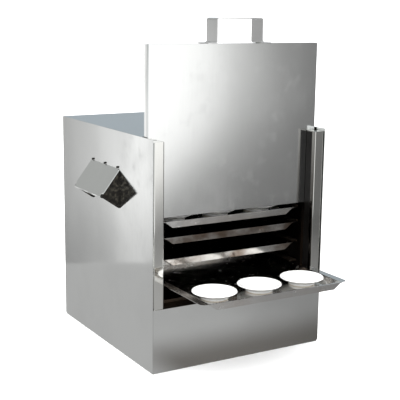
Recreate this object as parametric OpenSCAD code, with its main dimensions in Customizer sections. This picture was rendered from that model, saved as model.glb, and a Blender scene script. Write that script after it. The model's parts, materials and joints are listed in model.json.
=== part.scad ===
// Table-top electric cabinet smoker with a lift-up door, sliding food trays and side grips.
// Millimetres. Origin: middle of the footprint on the surface it stands on. +X right, +Y back, +Z up.

/* [Cabinet] */
// Width over the side panels
body_w = 366; // [300:1:450]
// Depth from the front panel's face to the back panel's face
body_d = 394; // [320:1:480]
// Height from the surface it stands on to the top
body_h = 420; // [340:1:520]
// Sheet thickness of the outer panels
sheet = 1.2; // [0.8:0.1:2]
// Height of the folded rim the cabinet stands on
foot_h = 3; // [3:0.5:12]
// Width of the rim's hem
foot_hem = 12; // [8:1:25]
// Height of the sill, the top of the lower front panel
sill_z = 118.3; // [90:0.1:160]

/* [Front posts] */
// Distance from the middle plane to a post's outer side
post_outer = 180.4; // [150:0.1:220]
// Distance from the middle plane to a post's inner side
post_inner = 159.6; // [130:0.1:200]
// Depth at which the posts' front faces stand behind the front panel's face
post_front = 1.5; // [0:0.1:6]
// Top of the posts
post_top = 414.8; // [300:0.1:500]
// Outer bend radius of the folded posts
post_bend = 2.4; // [1.4:0.1:4]
// Depth at which a post's inner return ends
post_return = 9.5; // [6:0.5:20]
// Depth at which a post's outer return ends
post_back = 25.8; // [20:0.1:26]

/* [Door] */
// Depth of the door's front face behind the front panel's face
door_y = 27.7; // [15:0.1:40]
// Half the width of the door
door_half = 179.2; // [140:0.1:200]
// Bottom edge of the raised door
door_low = 276.2; // [200:0.1:330]
// Top of the raised door
door_high = 578; // [450:0.5:700]
// Depth of the door's folded side edges
door_fold = 12; // [6:0.5:13]
// Depth of the door's top flange
door_flange = 16; // [10:0.5:17]

/* [Door handle] */
// Distance over the handle's two legs
handle_w = 97; // [70:1:160]
// Height of the handle above the door's top flange
handle_h = 45; // [30:1:70]
// Width of the handle's strip
handle_strip = 36; // [16:1:44]
// Thickness of the handle's strip
handle_t = 2; // [1.5:0.1:4]
// Length of each foot turned outwards
handle_foot = 18; // [12:1:30]

/* [Trays] */
// Half the width over a tray's side flanges
tray_half = 154; // [120:0.5:156]
// Half the width between the top edges of a tray's sloping sides
tray_rim = 139; // [110:0.5:145]
// Half the width of a tray's floor
tray_floor = 123; // [95:0.5:135]
// Height from a tray's underside to its rim
tray_h = 12.5; // [8:0.5:20]
// Length of a tray
tray_l = 286; // [220:1:300]
// Depth of a pushed-in tray's front wall behind the front panel's face
tray_home = 35.5; // [34:0.5:45]
// How far the lowest tray is pulled out
pull_4 = 154; // [0:1:170]
// Rim height of the top tray
rim_1 = 266.5; // [255:0.5:272]
// Rim height of the second tray
rim_2 = 236.9; // [200:0.5:245]
// Rim height of the third tray
rim_3 = 197.2; // [160:0.5:215]
// Rim height of the lowest tray
rim_4 = 157.5; // [140:0.5:170]

/* [Dishes] */
// Radius of a dish's rim
dish_r = 40; // [30:0.5:44]
// Height of a dish
dish_h = 13.5; // [8:0.5:14]
// Spacing of the dishes across a tray
dish_pitch = 93.5; // [85:0.5:100]
// Distance of the dishes' middles behind a tray's front wall
dish_back = 58.5; // [46:0.5:90]

/* [Side grips] */
// Length of a grip
grip_l = 124; // [90:1:160]
// Height of the grip cover's top edge
grip_top = 351; // [280:1:390]
// How far a grip stands out from the side panel
grip_out = 38; // [25:1:55]
// Drop from the cover's top edge to its outer edge
grip_drop = 48.5; // [30:0.5:60]
// Height of a grip's lowest point
grip_low = 277; // [240:1:320]

/* [Hidden] */
y0 = -body_d / 2;
xw = body_w / 2;
xi = xw - sheet;
eps = 0.05;
lin_x = 159.5;
lin_t = 1;
lin_back = 370;
lin_z0 = 25;
lin_z1 = 399;
fine = 48;

// A block between two corners; y counts from the front panel's face.
module slab(x1, x2, y1, y2, z1, z2) {
  translate([x1, y0 + y1, z1])
    cube([x2 - x1, y2 - y1, z2 - z1]);
}

// A cylinder along Y from depth y1 to depth y2.
module rod_y(x, z, r, y1, y2) {
  translate([x, y0 + y1, z])
    rotate([-90, 0, 0])
      cylinder(r = r, h = y2 - y1, $fn = fine);
}

// A cylinder along X from x1 to x2.
module rod_x(y, z, r, x1, x2) {
  translate([x1, y0 + y, z])
    rotate([0, 90, 0])
      cylinder(r = r, h = x2 - x1, $fn = fine);
}

// A cylinder along Z from z1 to z2.
module rod_z(x, y, r, z1, z2) {
  translate([x, y0 + y, z1])
    cylinder(r = r, h = z2 - z1, $fn = fine);
}

// ---- outer cabinet ----

air_x = [-60, -20, 20, 60];

// A floor plate with a folded rim under it, open at the back so that air reaches the holes.
module base_panel() {
  x = xi - eps;
  y1 = sheet;
  y2 = body_d - sheet;
  w = foot_hem;
  color([0.62, 0.63, 0.64])
    difference() {
      slab(-x, x, y1, y2, 0, foot_h + sheet);
      slab(-x + sheet, x - sheet, y1 + sheet, y2 - sheet, sheet, foot_h);
      slab(-x + w, x - w, y1 + w, y2 - w, -1, foot_h - 0.5);
      slab(-40, 40, y2 - w - 2, y2 + 1, -1, foot_h);
      for (a = air_x)
        rod_z(a, 200, 4, foot_h - 1, foot_h + sheet + 1);
    }
}

module side_sheet(s) {
  x1 = s < 0 ? -xw : xi;
  slab(x1, x1 + sheet, 0, body_d, foot_h, body_h);
}

module side_panel_left() {
  color([0.80, 0.81, 0.82])
    side_sheet(-1);
}

module side_panel_right() {
  color([0.80, 0.81, 0.82])
    difference() {
      side_sheet(1);
      rod_x(320, 60, 8, xi - 2, xw + 2);
    }
}

module front_panel() {
  color([0.72, 0.73, 0.74])
    slab(-xi + eps, xi - eps, 0, sheet, foot_h, sill_z);
}

module sill_ledge() {
  color([0.70, 0.71, 0.72]) {
    union() {
      slab(-xi + eps, xi - eps, sheet, 33, sill_z - sheet, sill_z);
      slab(-158.2, 158.2, 31.8, 33, sill_z - sheet, sill_z + 5.2);
    }
  }
}

module top_panel() {
  color([0.66, 0.69, 0.72])
    slab(-xi + eps, xi - eps, 46, body_d - sheet, body_h - sheet, body_h);
}

module back_panel() {
  color([0.72, 0.73, 0.74])
    difference() {
      slab(-xi + eps, xi - eps, body_d - sheet, body_d, foot_h, body_h);
      rod_y(0, 378, 12.4, body_d - 4, body_d + 4);
      for (p = back_screw_at)
        rod_y(p[0], p[1], 2.2, body_d - 4, body_d + 4);
    }
}

// ---- front posts and door guides ----

// Outline of a post seen from above, with rounded front bends.
module post_outline() {
  a = post_inner;
  b = post_outer;
  f = post_front;
  r = post_bend;
  union() {
    translate([a, f + r])
      square([b - a, post_back - f - r]);
    translate([a + r, f])
      square([b - a - 2 * r, r]);
    translate([a + r, f + r])
      circle(r = r, $fn = fine);
    translate([b - r, f + r])
      circle(r = r, $fn = fine);
  }
}

// Post section seen from above: a folded channel with a short inner and a deep outer return.
module post_section() {
  a = post_inner;
  b = post_outer;
  f = post_front;
  r = post_bend;
  difference() {
    post_outline();
    translate([a + sheet, f + r])
      square([b - a - 2 * sheet, post_back]);
    translate([a - 1, post_return])
      square([sheet + 1.5, post_back]);
    translate([a + r, f + sheet])
      square([b - a - 2 * r, r]);
    translate([a + r, f + r])
      circle(r = r - sheet, $fn = fine);
    translate([b - r, f + r])
      circle(r = r - sheet, $fn = fine);
  }
}

// A post with a closed top.
module post() {
  union() {
    translate([0, y0, sill_z])
      linear_extrude(height = post_top - sill_z)
        post_section();
    translate([0, y0, post_top - sheet])
      linear_extrude(height = sheet)
        post_outline();
  }
}

module post_right() {
  color([0.82, 0.82, 0.80])
    post();
}

module post_left() {
  color([0.82, 0.82, 0.80])
    mirror([1, 0, 0])
      post();
}

// A dark angle that closes a post's hollow towards the opening and the door.
module slot_strip() {
  union() {
    slab(post_inner + 0.2, post_outer, post_back, post_back + sheet, sill_z + 0.2, post_top);
    slab(post_inner + 0.2, post_inner + 0.2 + sheet, post_return + 0.2, post_back + 0.5,
         sill_z + 0.2, post_top - sheet);
  }
}

module slot_strip_right() {
  color([0.10, 0.10, 0.10])
    slot_strip();
}

module slot_strip_left() {
  color([0.10, 0.10, 0.10])
    mirror([1, 0, 0])
      slot_strip();
}

module door_guide_right() {
  color([0.35, 0.35, 0.36])
    union() {
      slab(lin_x, xi, 41.5, 42.7, sill_z + 0.2, 418.5);
      slab(xi - sheet, xi, 42.7, 62, sill_z + 0.2, 418.5);
    }
}

module door_guide_left() {
  color([0.35, 0.35, 0.36])
    union() {
      slab(-xi, -lin_x, 41.5, 42.7, sill_z + 0.2, 418.5);
      slab(-xi, -xi + sheet, 42.7, 62, sill_z + 0.2, 418.5);
    }
}

module lintel() {
  color([0.45, 0.45, 0.46])
    difference() {
      union() {
        slab(-159.4, 159.4, 30.9, 46, 417.7, 418.9);
        slab(-159.4, 159.4, 30.9, 32.1, 395.8, 418);
        slab(-158.3, 158.3, 30.9, 44, 395.8, 397);
      }
      for (x = [-screw_x, screw_x])
        slab(x - 8, x + 8, 30, 42.5, 411, 420);
    }
}

// ---- inner lining ----

module liner_left() {
  color([0.10, 0.09, 0.08])
    slab(-lin_x, -lin_x + lin_t, 34.3, lin_back, lin_z0 + lin_t, lin_z1 - lin_t);
}

module liner_right() {
  color([0.10, 0.09, 0.08])
    slab(lin_x - lin_t, lin_x, 34.3, lin_back, lin_z0 + lin_t, lin_z1 - lin_t);
}

module liner_back() {
  color([0.10, 0.09, 0.08])
    difference() {
      slab(-lin_x, lin_x, lin_back, lin_back + lin_t, lin_z0 + lin_t, lin_z1 - lin_t);
      rod_y(0, 378, 12.4, lin_back - 2, lin_back + 3);
      for (x = [-60, 60])
        rod_y(x, 62, 4.5, lin_back - 2, lin_back + 3);
      rod_y(130, 126, 2.9, lin_back - 2, lin_back + 3);
    }
}

module liner_top() {
  color([0.10, 0.09, 0.08])
    slab(-lin_x, lin_x, 44.3, lin_back + lin_t, lin_z1 - lin_t, lin_z1);
}

module liner_floor() {
  color([0.10, 0.09, 0.08])
    difference() {
      slab(-lin_x, lin_x, 33.2, lin_back + lin_t, lin_z0, lin_z0 + lin_t);
      for (x = air_x)
        rod_z(x, 200, 4, lin_z0 - 1, lin_z0 + 3);
    }
}

module liner_front() {
  color([0.10, 0.09, 0.08])
    slab(-lin_x, lin_x, 33.2, 34.2, lin_z0 + lin_t, 116.8);
}

// ---- insulation between the outer cabinet and the lining ----

module insulation_left() {
  color([0.80, 0.76, 0.62])
    slab(-181, -160, 63, 391, 27, 397);
}

module insulation_right() {
  color([0.80, 0.76, 0.62])
    difference() {
      slab(160, 181, 63, 391, 27, 397);
      rod_x(320, 60, 8, 155, 185);
    }
}

module insulation_top() {
  color([0.80, 0.76, 0.62])
    slab(-180.2, 180.2, 48, 391, 399.5, 418.3);
}

module insulation_back() {
  color([0.80, 0.76, 0.62])
    difference() {
      slab(-158, 158, 371.5, 392.2, 27, 397);
      rod_y(0, 378, 13, 368, 396);
      for (x = [-60, 60])
        rod_y(x, 62, 8, 368, 396);
      rod_y(130, 126, 4, 368, 396);
    }
}

// ---- runners and heater ----

// One runner seen from the front, on the right-hand side: a channel round the flange.
module runner_section(rim) {
  translate([157.3, rim - 2.4])
    square([1.2, 4]);
  translate([144.5, rim - 2.4])
    square([13, 1]);
  translate([144.5, rim + 0.6])
    square([13, 1]);
}

module runner_set() {
  for (rim = [rim_1, rim_2, rim_3, rim_4])
    translate([0, y0 + 366, 0])
      rotate([90, 0, 0])
        linear_extrude(height = 321)
          runner_section(rim);
}

module runners_right() {
  color([0.30, 0.29, 0.28])
    runner_set();
}

module runners_left() {
  color([0.30, 0.29, 0.28])
    mirror([1, 0, 0])
      runner_set();
}

module heating_element() {
  color([0.24, 0.22, 0.21])
    union() {
      for (x = [-60, 60])
        rod_y(x, 62, 4, 150, 378);
      translate([0, y0 + 150, 62])
        rotate([0, 0, 180])
          rotate_extrude(angle = 180, $fn = 96)
            translate([60, 0])
              circle(r = 4, $fn = 32);
    }
}

module element_supports() {
  color([0.30, 0.29, 0.28])
    for (y = [170, 320])
      slab(-72, 72, y, y + 2, 26, 57.9);
}

module element_terminals() {
  color([0.80, 0.66, 0.35])
    for (x = [-60, 60])
      rod_y(x, 62, 2, 378, 388);
}

// An open pan between two corners, with walls of thickness t.
module pan(x1, x2, y1, y2, z1, z2, t) {
  difference() {
    slab(x1, x2, y1, y2, z1, z2);
    slab(x1 + t, x2 - t, y1 + t, y2 - t, z1 + t, z2 + 5);
  }
}

module chip_pan() {
  color([0.20, 0.19, 0.18])
    pan(-75, 75, 160, 300, 66.1, 92, 1.2);
}

module drip_tray() {
  color([0.16, 0.15, 0.14])
    union() {
      pan(-146, 146, 52, 362, 100.2, 111, 1);
      slab(-155, -146, 52, 362, 110, 111);
      slab(146, 155, 52, 362, 110, 111);
    }
}

module drip_ledges() {
  color([0.30, 0.29, 0.28])
    for (s = [0, 1])
      mirror([s, 0, 0])
        union() {
          slab(147.5, 158.4, 52, 362, 108.8, 109.8);
          slab(157.4, 158.4, 52, 362, 98, 109.8);
        }
}

module exhaust_tube() {
  color([0.60, 0.61, 0.62])
    difference() {
      union() {
        rod_y(0, 378, 12, 367, 402);
        rod_y(0, 378, 20, body_d, body_d + 1.5);
      }
      rod_y(0, 378, 10.8, 360, 410);
    }
}

module temperature_probe() {
  color([0.75, 0.75, 0.74])
    rod_y(130, 126, 2.5, 320, 382);
}

// ---- controls on the right-hand side ----

box_x = xw;
box_w = 34;
box_y1 = 236;
box_y2 = 346;
box_z1 = 22;
box_z2 = 116;
knob_y = 266;
knob_z = 78;
sw_y = 316;
sw_z = 84;
lamp_y = 292;
lamp_z = 44;
inlet_x = 200;
inlet_z = 56;

module control_box() {
  color([0.72, 0.73, 0.74])
    difference() {
      slab(box_x, box_x + box_w, box_y1, box_y2, box_z1, box_z2);
      slab(box_x - 1, box_x + box_w - 1.2, box_y1 + 1.2, box_y2 - 1.2, box_z1 + 1.2, box_z2 - 1.2);
      rod_x(knob_y, knob_z, 3.6, box_x, box_x + box_w + 2);
      rod_x(lamp_y, lamp_z, 4.3, box_x, box_x + box_w + 2);
      slab(box_x + 20, box_x + box_w + 2, sw_y - 8, sw_y + 8, sw_z - 11, sw_z + 11);
      slab(inlet_x - 11, inlet_x + 11, box_y2 - 5, box_y2 + 5, inlet_z - 15, inlet_z + 15);
    }
}

module thermostat_body() {
  color([0.45, 0.45, 0.46])
    difference() {
      slab(box_x + 8, box_x + box_w - 1.3, knob_y - 16, knob_y + 16, knob_z - 16, knob_z + 16);
      rod_x(knob_y, knob_z, 3.05, box_x + 16, box_x + box_w + 2);
    }
}

module thermostat_knob() {
  color([0.07, 0.07, 0.07])
    difference() {
      union() {
        rod_x(knob_y, knob_z, 3, box_x + 18, box_x + box_w + 2);
        rod_x(knob_y, knob_z, 17, box_x + box_w + 1, box_x + box_w + 5);
        rod_x(knob_y, knob_z, 13.5, box_x + box_w + 4, box_x + box_w + 17);
      }
      slab(box_x + box_w + 16, box_x + box_w + 20, knob_y - 0.8, knob_y + 0.8, knob_z + 2, knob_z + 20);
    }
}

module switch_housing() {
  color([0.06, 0.06, 0.06])
    difference() {
      union() {
        slab(box_x + 15, box_x + box_w, sw_y - 7.9, sw_y + 7.9, sw_z - 10.9, sw_z + 10.9);
        slab(box_x + box_w, box_x + box_w + 1.5, sw_y - 10, sw_y + 10, sw_z - 13, sw_z + 13);
      }
      slab(box_x + 19, box_x + box_w + 4, sw_y - 6.4, sw_y + 6.4, sw_z - 9.8, sw_z + 9.8);
    }
}

module power_switch() {
  color([0.55, 0.06, 0.05])
    translate([box_x + box_w - 2, y0 + sw_y, sw_z])
      rotate([0, -8, 0])
        translate([-4, -5.8, -8.8])
          cube([8.5, 11.6, 17.6]);
}

module pilot_lamp() {
  color([0.90, 0.35, 0.08])
    union() {
      rod_x(lamp_y, lamp_z, 3.9, box_x + 22, box_x + box_w);
      rod_x(lamp_y, lamp_z, 5.5, box_x + box_w, box_x + box_w + 2.5);
    }
}

module power_inlet() {
  color([0.06, 0.06, 0.06])
    difference() {
      union() {
        slab(inlet_x - 10.8, inlet_x + 10.8, box_y2 - 24, box_y2, inlet_z - 14.8, inlet_z + 14.8);
        slab(inlet_x - 13, inlet_x + 13, box_y2, box_y2 + 2, inlet_z - 18, inlet_z + 18);
      }
      slab(inlet_x - 8.5, inlet_x + 8.5, box_y2 - 18, box_y2 + 4, inlet_z - 12.5, inlet_z + 12.5);
    }
}

module inlet_pins() {
  color([0.80, 0.66, 0.35])
    for (z = [-7, 0, 7])
      slab(inlet_x - 2, inlet_x + 2, box_y2 - 18, box_y2 - 5, inlet_z + z - 1, inlet_z + z + 1);
}

module control_screws() {
  color([0.75, 0.75, 0.74])
    for (y = [box_y1 + 10, box_y2 - 10], z = [box_z1 + 9, box_z2 - 9])
      rod_x(y, z, 3, box_x + box_w, box_x + box_w + 2);
}

// ---- side grips ----

grip_y1 = (body_d - grip_l) / 2 - 6;
grip_y2 = grip_y1 + grip_l;
grip_n = sqrt(grip_out * grip_out + grip_drop * grip_drop);
grip_under = 1.5 * grip_n / grip_out;

// Grip parts are drawn as (distance from the wall, height) and pushed along Y.
module grip_run(y1, y2) {
  translate([-xw, y0 + y2, 0])
    rotate([90, 0, 0])
      linear_extrude(height = y2 - y1)
        mirror([1, 0])
          children();
}

module cover_section() {
  polygon([
    [0, grip_top],
    [grip_out, grip_top - grip_drop],
    [grip_out, grip_top - grip_drop - grip_under],
    [0, grip_top - grip_under]
  ]);
}

module cover_left() {
  difference() {
    grip_run(grip_y1, grip_y2)
      cover_section();
    for (y = [grip_y1, grip_y2])
      slab(-xw - grip_out - 1, -xw - grip_out + 5, y - 5, y + 5, 270, 360);
  }
}

module grip_cover_left() {
  color([0.76, 0.77, 0.78])
    cover_left();
}

module grip_cover_right() {
  color([0.76, 0.77, 0.78])
    mirror([1, 0, 0])
      cover_left();
}

module cheek_section() {
  u = grip_out - 1.6;
  polygon([
    [0, grip_top - grip_under - 0.1],
    [u, grip_top - grip_under - 0.1 - u * grip_drop / grip_out],
    [0, grip_low]
  ]);
}

module bar_section() {
  k = grip_drop / grip_out;
  z = grip_top - grip_under - 0.1;
  polygon([
    [24, z - 24 * k],
    [grip_out - 1.6, z - (grip_out - 1.6) * k],
    [grip_out - 8, z - (grip_out - 1.6) * k - 5],
    [17.6, z - 24 * k - 5]
  ]);
}

module grip_cheeks() {
  color([0.13, 0.09, 0.06])
    for (s = [0, 1])
      mirror([s, 0, 0]) {
        grip_run(grip_y1 + 0.5, grip_y1 + 8.5)
          cheek_section();
        grip_run(grip_y2 - 8.5, grip_y2 - 0.5)
          cheek_section();
      }
}

module grip_bars() {
  color([0.13, 0.09, 0.06])
    for (s = [0, 1])
      mirror([s, 0, 0])
        grip_run(grip_y1 + 8.5, grip_y2 - 8.5)
          bar_section();
}

module grip_rivets() {
  color([0.15, 0.14, 0.13])
    for (s = [0, 1])
      mirror([s, 0, 0])
        for (y = [grip_y1 + 8, grip_y1 + grip_l / 2, grip_y2 - 8])
          rod_x(y, grip_top + 2.2, 2, -xw - 2.4, -xw);
}

// ---- back screws ----

back_screw_at = [
  [-172, 20], [0, 20], [172, 20], [-172, 210], [172, 210], [-172, 405], [0, 405], [172, 405]
];

module back_screws() {
  color([0.75, 0.75, 0.74])
    for (p = back_screw_at)
      union() {
        rod_y(p[0], p[1], 2, body_d - 1.2, body_d + 1);
        rod_y(p[0], p[1], 4, body_d, body_d + 2.2);
      }
}

// ---- door ----

hand_x = handle_w / 2;
hand_y = door_y + door_flange / 2;
screw_x = hand_x + 9;

// Door section seen from above: flat sheet with both side edges folded back.
module door_section() {
  b = door_half;
  r = 2.6;
  difference() {
    union() {
      translate([-b + r, door_y])
        square([2 * b - 2 * r, r]);
      translate([-b, door_y + r])
        square([2 * b, door_fold - r]);
      for (s = [-1, 1])
        translate([s * (b - r), door_y + r])
          circle(r = r, $fn = fine);
    }
    translate([-b + sheet, door_y + r])
      square([2 * b - 2 * sheet, door_fold]);
    translate([-b + r, door_y + sheet])
      square([2 * b - 2 * r, r]);
    for (s = [-1, 1])
      translate([s * (b - r), door_y + r])
        circle(r = r - sheet, $fn = fine);
  }
}

module door_panel() {
  color([0.74, 0.75, 0.76])
    difference() {
      union() {
        translate([0, y0, door_low])
          linear_extrude(height = door_high - door_low)
            door_section();
        slab(-door_half + 1, door_half - 1, door_y + sheet - 0.1, door_y + door_flange,
             door_high - sheet, door_high);
        slab(-door_half + 4, door_half - 4, door_y + sheet - 0.1, door_y + 2.4,
             door_low, door_low + 9);
      }
      for (x = [-screw_x, screw_x])
        rod_z(x, hand_y, 2.3, door_high - 5, door_high + 5);
    }
}

module door_handle() {
  z1 = door_high;
  z2 = door_high + handle_h;
  t = handle_t;
  y1 = hand_y - handle_strip / 2;
  y2 = hand_y + handle_strip / 2;
  color([0.80, 0.81, 0.82])
    difference() {
      union() {
        slab(-hand_x - handle_foot, -hand_x + t, y1, y2, z1, z1 + t);
        slab(hand_x - t, hand_x + handle_foot, y1, y2, z1, z1 + t);
        slab(-hand_x, -hand_x + t, y1, y2, z1, z2);
        slab(hand_x - t, hand_x, y1, y2, z1, z2);
        slab(-hand_x, hand_x, y1, y2, z2 - t, z2);
      }
      for (x = [-screw_x, screw_x])
        rod_z(x, hand_y, 2.3, z1 - 2, z1 + 6);
    }
}

module handle_screws() {
  color([0.78, 0.78, 0.77])
    for (x = [-screw_x, screw_x])
      union() {
        rod_z(x, hand_y, 2, door_high - 6.4, door_high + handle_t + 1);
        rod_z(x, hand_y, 4, door_high + handle_t, door_high + handle_t + 2.4);
      }
}

module handle_nuts() {
  color([0.70, 0.70, 0.69])
    for (x = [-screw_x, screw_x])
      difference() {
        translate([x, y0 + hand_y, door_high - sheet - 3.2])
          cylinder(r = 4, h = 3.2, $fn = 6);
        rod_z(x, hand_y, 2.05, door_high - 10, door_high + 1);
      }
}

// ---- trays ----

tk = 1;
slope = (tray_rim - tray_floor) / (tray_h - tk);
low_x = tray_floor + 0.32;
top_x = low_x + (tray_h - tk) * slope;

// Tray section seen from the front: floor, sloping sides and flat side flanges.
module tray_section() {
  polygon([
    [-tray_half, tray_h], [-tray_rim, tray_h], [-tray_floor, tk],
    [tray_floor, tk], [tray_rim, tray_h], [tray_half, tray_h],
    [tray_half, tray_h - tk], [top_x, tray_h - tk], [low_x, 0],
    [-low_x, 0], [-top_x, tray_h - tk], [-tray_half, tray_h - tk]
  ]);
}

// The front or back wall of a tray.
module tray_end() {
  polygon([
    [-top_x - 0.5, tray_h - 0.5], [top_x + 0.5, tray_h - 0.5],
    [low_x, 0], [-low_x, 0]
  ]);
}

module tray(front, rim) {
  z = rim - tray_h;
  difference() {
    union() {
      translate([0, y0 + front + tray_l, z])
        rotate([90, 0, 0])
          linear_extrude(height = tray_l)
            tray_section();
      translate([0, y0 + front + tk, z])
        rotate([90, 0, 0])
          linear_extrude(height = tk)
            tray_end();
      translate([0, y0 + front + tray_l, z])
        rotate([90, 0, 0])
          linear_extrude(height = tk)
            tray_end();
      slab(-tray_rim - 1, tray_rim + 1, front - 2, front + 0.4, rim - 1.6, rim);
    }
    for (s = [-1, 1])
      translate([s * (tray_half + 6), y0 + front - 7, z - 1])
        rotate([0, 0, 45])
          translate([-13.5, -13.5, 0])
            cube([27, 27, tray_h + 2]);
  }
}

module tray_1() {
  color([0.70, 0.70, 0.69])
    tray(tray_home, rim_1);
}

module tray_2() {
  color([0.70, 0.68, 0.66])
    tray(tray_home, rim_2);
}

module tray_3() {
  color([0.70, 0.68, 0.66])
    tray(tray_home, rim_3);
}

module tray_4() {
  color([0.74, 0.74, 0.73])
    tray(tray_home - pull_4, rim_4);
}

// A shallow round dish on a foot ring, standing at height z.
module dish(x, y, z) {
  translate([x, y0 + y, z])
    rotate_extrude($fn = 72)
      polygon([
        [0, 4], [20, 4], [21, 0], [24, 0], [25, 4.2], [dish_r - 2, dish_h - 2.6],
        [dish_r, dish_h - 1], [dish_r - 0.6, dish_h], [dish_r - 2, dish_h],
        [26, dish_h - 3.8], [0, dish_h - 3.8]
      ]);
}

module dish_row(front, rim) {
  for (i = [-1, 0, 1])
    dish(i * dish_pitch, front + dish_back, rim - tray_h + tk);
}

module dishes_upper() {
  color([0.97, 0.97, 0.96])
    dish_row(tray_home, rim_1);
}

module dishes_lower() {
  color([0.97, 0.97, 0.96])
    dish_row(tray_home - pull_4, rim_4);
}

base_panel();
side_panel_left();
side_panel_right();
front_panel();
sill_ledge();
top_panel();
back_panel();
post_left();
post_right();
slot_strip_left();
slot_strip_right();
door_guide_left();
door_guide_right();
lintel();
liner_left();
liner_right();
liner_back();
liner_top();
liner_floor();
liner_front();
insulation_left();
insulation_right();
insulation_top();
insulation_back();
runners_left();
runners_right();
heating_element();
element_supports();
element_terminals();
chip_pan();
drip_tray();
drip_ledges();
exhaust_tube();
temperature_probe();
control_box();
thermostat_body();
switch_housing();
pilot_lamp();
power_inlet();
inlet_pins();
control_screws();
grip_cover_left();
grip_cover_right();
grip_bars();
grip_cheeks();
grip_rivets();
back_screws();
door_panel();
door_handle();
handle_screws();
handle_nuts();
tray_1();
tray_2();
tray_3();
tray_4();
dishes_upper();
dishes_lower();
thermostat_knob();
power_switch();
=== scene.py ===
"""Looks of the table-top electric cabinet smoker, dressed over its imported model."""

from __future__ import annotations

import json
import logging
import math
from dataclasses import dataclass, field
from enum import Enum
from typing import Any, Callable, Iterable, Optional, Sequence, Union

import bmesh
import bpy
from mathutils import Matrix, Vector

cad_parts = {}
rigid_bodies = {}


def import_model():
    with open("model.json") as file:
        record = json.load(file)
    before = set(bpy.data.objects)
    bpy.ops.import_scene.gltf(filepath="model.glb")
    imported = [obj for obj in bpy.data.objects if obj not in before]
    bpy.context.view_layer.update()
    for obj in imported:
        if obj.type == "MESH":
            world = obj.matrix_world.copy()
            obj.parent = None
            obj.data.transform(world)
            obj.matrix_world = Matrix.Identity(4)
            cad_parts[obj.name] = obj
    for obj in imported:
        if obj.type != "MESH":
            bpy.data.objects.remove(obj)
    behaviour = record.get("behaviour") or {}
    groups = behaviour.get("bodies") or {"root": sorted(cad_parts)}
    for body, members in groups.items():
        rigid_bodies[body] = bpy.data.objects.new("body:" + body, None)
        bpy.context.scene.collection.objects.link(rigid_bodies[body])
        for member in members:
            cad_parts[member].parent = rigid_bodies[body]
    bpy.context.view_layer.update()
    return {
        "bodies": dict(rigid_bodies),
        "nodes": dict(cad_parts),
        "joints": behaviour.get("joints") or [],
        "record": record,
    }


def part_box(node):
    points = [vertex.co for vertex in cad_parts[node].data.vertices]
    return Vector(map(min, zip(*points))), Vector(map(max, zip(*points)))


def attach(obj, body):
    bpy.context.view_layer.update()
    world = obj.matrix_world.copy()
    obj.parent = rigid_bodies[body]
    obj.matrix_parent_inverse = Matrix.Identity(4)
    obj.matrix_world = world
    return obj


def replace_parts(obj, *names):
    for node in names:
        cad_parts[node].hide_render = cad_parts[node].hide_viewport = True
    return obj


LOG = logging.getLogger("cabinet_smoker")
Colour = tuple[float, float, float]
Stops = tuple[tuple[float, float], ...]
Number = Union[float, int]


# ---- shader graphs ----


@dataclass(frozen=True)
class Wire:
    """One output socket of a shader graph, with arithmetic that adds Math nodes."""

    graph: "Graph"
    socket: bpy.types.NodeSocket

    def __add__(self, other: "Wire | Number") -> "Wire":
        """Sum."""
        return self.graph.math("ADD", self, other)

    __radd__ = __add__

    def __sub__(self, other: "Wire | Number") -> "Wire":
        """Difference."""
        return self.graph.math("SUBTRACT", self, other)

    def __rsub__(self, other: Number) -> "Wire":
        """Difference from a number."""
        return self.graph.math("SUBTRACT", other, self)

    def __mul__(self, other: "Wire | Number") -> "Wire":
        """Product."""
        return self.graph.math("MULTIPLY", self, other)

    __rmul__ = __mul__

    def __truediv__(self, other: "Wire | Number") -> "Wire":
        """Quotient."""
        return self.graph.math("DIVIDE", self, other)

    def __abs__(self) -> "Wire":
        """Distance from zero."""
        return self.graph.math("ABSOLUTE", self, 0.0)

    def step(self, low: float, high: float) -> "Wire":
        """A soft step that is 0 below low and 1 above high, or the reverse if low is the larger.

        Args:
            low: The value at which the step is 0.
            high: The value at which the step is 1.

        Returns:
            The step as a wire from 0 to 1.
        """
        flip = low > high
        ends = (0.0, 1.0) if not flip else (1.0, 0.0)
        return self.graph.node(
            "ShaderNodeMapRange",
            {"interpolation_type": "SMOOTHSTEP"},
            {0: self, 1: min(low, high), 2: max(low, high), 3: ends[0], 4: ends[1]},
        )


Source = Union[Wire, Number, Sequence[float]]


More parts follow.
